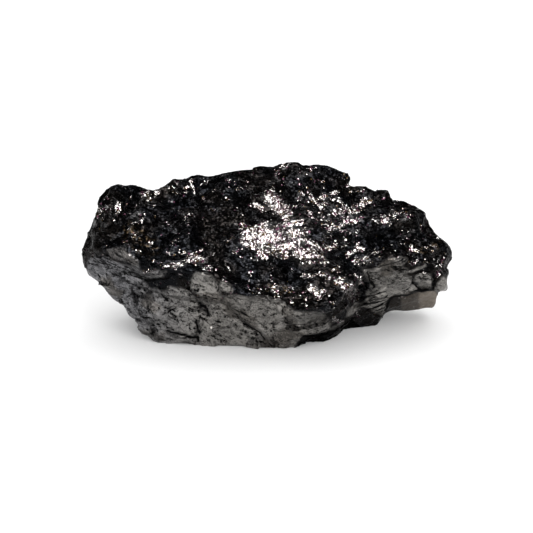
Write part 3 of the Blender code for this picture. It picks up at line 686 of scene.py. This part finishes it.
class Maker:
    """Adds linked nodes to a material, one call a node."""

    def __init__(self, tree):
        self.tree = tree

    def put(self, socket, value):
        if isinstance(value, bpy.types.NodeSocket):
            self.tree.links.new(value, socket)
        else:
            socket.default_value = value

    def node(self, kind, inputs=(), **settings):
        node = self.tree.nodes.new("ShaderNode" + kind)
        for name, value in settings.items():
            setattr(node, name, value)
        for name, value in dict(inputs).items():
            self.put(node.inputs[name], value)
        return node

    def share(self, name):
        return self.node("Attribute", attribute_name=name).outputs["Fac"]

    def math(self, operation, first, second=0.0, third=0.0):
        node = self.node("Math", {0: first, 1: second, 2: third}, operation=operation)
        return node.outputs[0]

    def vector(self, operation, first, second, third=(0.0, 0.0, 0.0)):
        node = self.node("VectorMath", {0: first, 1: second, 2: third}, operation=operation)
        return node.outputs["Value" if operation == "DOT_PRODUCT" else "Vector"]

    def scaled(self, vector, factor):
        node = self.node("VectorMath", {0: vector, "Scale": factor}, operation="SCALE")
        return node.outputs["Vector"]

    def ramp(self, value, low, high, to_low=0.0, to_high=1.0):
        """The value carried smoothly from one range to another."""
        source = {"Value": value, "From Min": low, "From Max": high}
        inputs = {**source, "To Min": to_low, "To Max": to_high}
        return self.node("MapRange", inputs, interpolation_type="SMOOTHSTEP").outputs["Result"]

    def mix(self, share, first, second, blend_type="MIX"):
        inputs = {0: share, 6: first, 7: second}
        return self.node("Mix", inputs, data_type="RGBA", blend_type=blend_type).outputs[2]

    def blend(self, share, first, second):
        return self.node("Mix", {0: share, 2: first, 3: second}, data_type="FLOAT").outputs[0]

    def stretched(self, place, turn, sizes):
        """A pattern's place, drawn out along a line that falls to the right by the turn."""
        inputs = {"Vector": place, "Rotation": (0, turn, 0), "Scale": sizes}
        return self.node("Mapping", inputs, vector_type="TEXTURE").outputs["Vector"]

    def line(self, value, width):
        """1 along the line where the value is a half."""
        away = self.math("ABSOLUTE", self.math("SUBTRACT", value, 0.5))
        return self.ramp(away, 0.0, width, 1.0, 0.0)

    def facets(self, place, scale, live, tilt, rarity, turned=0.0):
        """Height of a skin of flat facets, and which are fresh breaks with painted highlights.

        The fresh ones lean to the main lamp, unless a coarser skin has turned them already.
        """
        cells = {"Vector": place, "Scale": scale}
        cell = self.node("TexVoronoi", cells)
        middle = cell.outputs["Position"]
        away = self.vector("SUBTRACT", place, middle)
        turn = self.vector("SUBTRACT", cell.outputs["Color"], (0.5, 0.5, 0.5))
        gap = self.node("TexVoronoi", cells, feature="DISTANCE_TO_EDGE").outputs["Distance"]
        chance = self.math("ADD", self.fog(middle, 2.3 * scale, 0.0), self.fog(middle, 0.9, 0.0))
        chance = self.math("MULTIPLY", chance, 0.5)
        least = self.math("MULTIPLY", live, live)
        least = self.math("MULTIPLY_ADD", least, LIVE_THRESHOLD - rarity, rarity)
        fresh_glint = self.ramp(self.math("SUBTRACT", chance, least), 0.0, 0.02)
        fresh_glint = self.math("MULTIPLY", fresh_glint, self.ramp(gap, 0.03, 0.12))
        lean = self.node("Attribute", attribute_name="lean").outputs["Vector"]
        share = self.math("MULTIPLY_ADD", turned, -FACET_LEAN, FACET_LEAN)
        lean = self.scaled(lean, self.math("MULTIPLY", fresh_glint, share))
        turn = self.vector("ADD", self.scaled(turn, tilt), lean)
        return self.vector("DOT_PRODUCT", away, turn), fresh_glint

    def noise(self, place, scale, detail=2.0, roughness=0.5, distortion=0.0):
        inputs = {"Vector": place, "Scale": scale, "Detail": detail}
        inputs.update({"Roughness": roughness, "Distortion": distortion})
        return self.node("TexNoise", inputs)

    def fog(self, *settings):
        """The noise as a value from 0 to 1."""
        return self.noise(*settings).outputs["Fac"]


def shungite():
    """Glassy black rock with painted highlights where fresh, and satin grey broken faces."""
    material = bpy.data.materials.new("shungite")
    tree = tree_of(material)
    shader = tree.nodes["Principled BSDF"]
    m = Maker(tree)
    place = m.node("TexCoord").outputs["Object"]
    place = m.node("Mapping", {"Vector": place, "Scale": (1 / MM,) * 3}).outputs["Vector"]
    satin, live, crack, shade = (m.share(name) for name in ("satin", "live", "crack", "shade"))
    stain, tan_foot_shadow, shadow_lobes = (m.share(name) for name in ("stain", "tan_foot_shadow", "shadow_lobes"))
    layered = m.share("layered")

    # Small facets, each tilted its own way, and some of them fresh, with painted highlights,
    # turned to the light
    shift = m.noise(place, 1.8, 2.0, 0.6).outputs["Color"]
    bent = m.vector("MULTIPLY_ADD", shift, (0.4, 0.4, 0.4), place)
    tilt = m.ramp(live, 0.75, 1.0, 0.40, 0.18)
    height, fresh_glint = m.facets(bent, 2.1, live, tilt, 0.69)
    fine_height, fine_fresh_glint = m.facets(bent, 4.4, live, tilt, 0.67, fresh_glint)
    height = m.math("ADD", height, fine_height)
    fresh_glint = m.math("MAXIMUM", fresh_glint, fine_fresh_glint)

    # Painted highlights: pale wisps in the dark rock, for the lit edges of its flakes
    wisp_highlight = m.fog(m.stretched(place, 0.4, (1.6, 1.2, 1.0)), 0.8, 2.0, 0.5, 1.6)
    wisp_highlight = m.math("MULTIPLY", m.line(wisp_highlight, 0.030), m.ramp(m.fog(place, 0.6, 1.0), 0.50, 0.60))

    # Short breaks of the satin
    breaks = m.fog(m.stretched(bent, 0.6, (1.4, 1.0, 1.0)), 1.3, 3.0, 0.65)
    broken = m.ramp(m.fog(place, 1.3, 3.0, 0.6), 0.48, 0.56)
    breaks = m.math("MULTIPLY", m.line(breaks, 0.038), broken)

    # Pits of the satin, in zones
    pit_zone = m.ramp(m.fog(place, 0.4, 2.0), 0.38, 0.62, 0.62, 0.51)
    pit = m.fog(m.stretched(bent, 0.3, (1.7, 1.0, 1.0)), 2.2, 5.0, 0.7)
    pit = m.ramp(m.math("SUBTRACT", pit, pit_zone), 0.0, 0.05)

    # Dark layers of the satin, which fall away to both sides of the middle
    parts = m.node("SeparateXYZ", {0: bent}).outputs
    level = m.math("MULTIPLY_ADD", m.math("ABSOLUTE", parts[0]), -0.2, parts[2])
    level = {
        0: m.math("MULTIPLY", parts[0], 0.22),
        1: m.math("MULTIPLY", parts[1], 0.4),
        2: m.math("MULTIPLY", level, 1.5),
    }
    level = m.node("CombineXYZ", level).outputs["Vector"]
    layer = m.ramp(m.fog(level, 1.4, 3.0, 0.6), 0.43, 0.51, 1.0, 0.0)
    layer = m.math("MULTIPLY", layer, layered)

    line = m.ramp(crack, 0.55, 0.75)
    dark = m.math("MAXIMUM", breaks, m.math("MAXIMUM", pit, layer))
    dark = m.math("MAXIMUM", line, m.math("MULTIPLY", dark, satin))

    height = m.math("MULTIPLY_ADD", wisp_highlight, 0.05, height)
    height = m.math("MULTIPLY", height, m.blend(satin, 1.0, 0.25))
    height = m.math("MULTIPLY_ADD", dark, -0.08, height)
    bump = m.node("Bump", {"Height": height, "Strength": 1.0, "Distance": MM})

    # Painted highlight colour of the fresh facets: pink and gold ones are commoner where few
    # are fresh
    hue = m.math("SUBTRACT", m.fog(place, 3.0, 1.0), 0.5)
    hue = m.math("MULTIPLY_ADD", hue, m.ramp(live, 0.3, 1.0, 1.4, 1.2), 0.5)
    bright = m.mix(m.ramp(hue, 0.545, 0.585), PALE_BREAK_GLINT, PINK_BREAK_GLINT)
    bright = m.mix(m.ramp(hue, 0.38, 0.42), GOLD_BREAK_GLINT, bright)

    # Colour of the rock: partly painted highlight where it is live, with the painted
    # highlights of its wisps and fresh facets, and its rust
    brown = m.ramp(m.fog(place, 0.16, 1.0), 0.40, 0.60)
    rock = m.mix(m.ramp(live, 0.1, 0.9), m.mix(brown, COOL_ROCK, WARM_ROCK), LIVE_ROCK)
    rock = m.mix(m.math("MULTIPLY", wisp_highlight, 0.6), rock, WISP_HIGHLIGHT)
    rock = m.mix(fresh_glint, rock, bright)
    rusty = m.math("MULTIPLY", stain, m.ramp(m.fog(place, 1.4, 2.0), 0.45, 0.60))
    rock = m.mix(m.math("MULTIPLY", rusty, 0.4), rock, RUST)

    # Colour of the satin: streaks, plates and grain
    streak = m.fog(m.stretched(place, 0.3, (3.0, 1.0, 0.9)), 1.6, 3.0, 0.6, 0.5)
    plate = m.node("TexVoronoi", {"Vector": bent, "Scale": 0.38}).outputs["Position"]
    tone = m.math("MULTIPLY_ADD", m.fog(plate, 3.7, 0.0), 0.7, streak)
    tone = m.math("MULTIPLY_ADD", m.fog(place, 5.0, 3.0, 0.7), 1.5, tone)
    tone = m.math("MULTIPLY_ADD", shade, -0.45, tone)
    grey = m.mix(m.ramp(tone, 1.24, 1.88), DARK_SATIN, PALE_SATIN)
    along = m.node("SeparateXYZ", {0: place}).outputs[0]
    tint = m.mix(m.ramp(along, -26.0, -8.0), LEFT_TINT, RIGHT_TINT)
    tint = m.mix(shade, tint, SHADED_TINT)
    grey = m.mix(1.0, grey, tint, "MULTIPLY")

    colour = m.mix(satin, rock, grey)
    colour = m.mix(dark, colour, CRACK_BLACK)
    # Painted shadow: the lobes under the bulge are black.
    colour = m.mix(shadow_lobes, colour, SHADOW_LOBE_BLACK)
    # Painted shadow: the tan patch of the right foot, streaked, and clear of the cracks.
    patchy = m.math("MULTIPLY", tan_foot_shadow, m.ramp(streak, 0.3, 0.7, 0.75, 1.0))
    patchy = m.math("MULTIPLY", patchy, m.math("SUBTRACT", 1.0, line))
    m.put(shader.inputs["Base Color"], m.mix(patchy, colour, TAN_FOOT_SHADOW_COLOUR))
    rim = m.mix(shadow_lobes, m.mix(satin, ROCK_RIM, SATIN_RIM), SHADOW_LOBE_RIM)
    m.put(shader.inputs["Specular Tint"], rim)

    rough = m.blend(fresh_glint, 0.24, 0.15)
    rough = m.math("MULTIPLY_ADD", wisp_highlight, 0.22, rough)
    rough = m.blend(satin, rough, 0.30)
    rough = m.math("MULTIPLY_ADD", streak, 0.06, rough)
    rough = m.blend(dark, rough, 0.8)
    rough = m.blend(tan_foot_shadow, rough, 0.7)
    m.put(shader.inputs["Roughness"], rough)
    m.put(shader.inputs["Metallic"], m.blend(tan_foot_shadow, 1.0, 0.2))
    m.put(shader.inputs["Normal"], bump.outputs["Normal"])
    return material


def make_floor():
    deselect_all()
    bpy.ops.mesh.primitive_plane_add(size=3.0, location=(0, 0, 0))
    floor = bpy.context.object
    floor.name = "floor"
    material = bpy.data.materials.new("pale_floor")
    shader = tree_of(material).nodes["Principled BSDF"]
    shader.inputs["Base Color"].default_value = (0.9, 0.9, 0.9, 1)
    shader.inputs["Roughness"].default_value = 1.0
    shader.inputs["Specular IOR Level"].default_value = 0.0
    floor.data.materials.append(material)


def add_lamp(name, place, aim, size, power, for_stone=True):
    """A round lamp that shows in the stone alone, or else lights the floor alone."""
    lamp = bpy.data.lights.new(name, "AREA")
    lamp.shape = "DISK"
    lamp.size = size
    lamp.energy = power
    holder = bpy.data.objects.new(name, lamp)
    bpy.context.scene.collection.objects.link(holder)
    holder.location = place
    holder.rotation_euler = (Vector(aim) - Vector(place)).to_track_quat("-Z", "Y").to_euler()
    holder.visible_diffuse = not for_stone
    holder.visible_glossy = for_stone


def make_lights():
    middle = (0, 0, 0.012)
    add_lamp("key", KEY * MM, middle, 0.20, 3.0)
    add_lamp("left", (-0.35, -0.12, 0.4), middle, 0.12, 0.07)
    add_lamp("right", (0.35, 0.05, 0.35), middle, 0.12, 0.07)
    add_lamp("behind", (-0.1, 0.35, 0.35), middle, 0.10, 0.10)
    add_lamp("fill", (0.28, -0.45, 0.13), middle, 0.35, 2.0, for_stone=False)
    world = bpy.data.worlds.new("studio")
    bpy.context.scene.world = world
    tree = tree_of(world)
    dark = tree.nodes["Background"]
    dark.inputs["Color"].default_value = (0.012, 0.012, 0.013, 1)
    white = tree.nodes.new("ShaderNodeBackground")
    white.inputs["Color"].default_value = (1.3, 1.3, 1.3, 1)
    path = tree.nodes.new("ShaderNodeLightPath")
    mix = tree.nodes.new("ShaderNodeMixShader")
    tree.links.new(path.outputs["Is Glossy Ray"], mix.inputs["Fac"])
    tree.links.new(white.outputs["Background"], mix.inputs[1])
    tree.links.new(dark.outputs["Background"], mix.inputs[2])
    tree.links.new(mix.outputs["Shader"], tree.nodes["World Output"].inputs["Surface"])


def make_camera():
    camera = bpy.data.objects.new("camera", bpy.data.cameras.new("camera"))
    bpy.context.scene.collection.objects.link(camera)
    camera.data.lens = 85
    camera.data.sensor_width = 36
    camera.data.clip_start = 0.01
    camera.location = Vector(EYE) * MM
    camera.rotation_euler = Vector(-OUT).to_track_quat("-Z", "Y").to_euler()
    bpy.context.scene.camera = camera


def main():
    make_camera()
    make_floor()
    make_lights()
    bpy.context.scene.view_settings.view_transform = "Standard"
    noise.seed_set(WANDER_SEED)
    nugget = copy_of_solid("nugget")
    refine(nugget, SKIN_VOXEL)
    work_surface(nugget)
    nugget.data.materials.append(shungite())
    bpy.ops.object.shade_smooth_by_angle(angle=math.radians(30))
    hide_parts(NODE)
    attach(nugget, "root")


main()
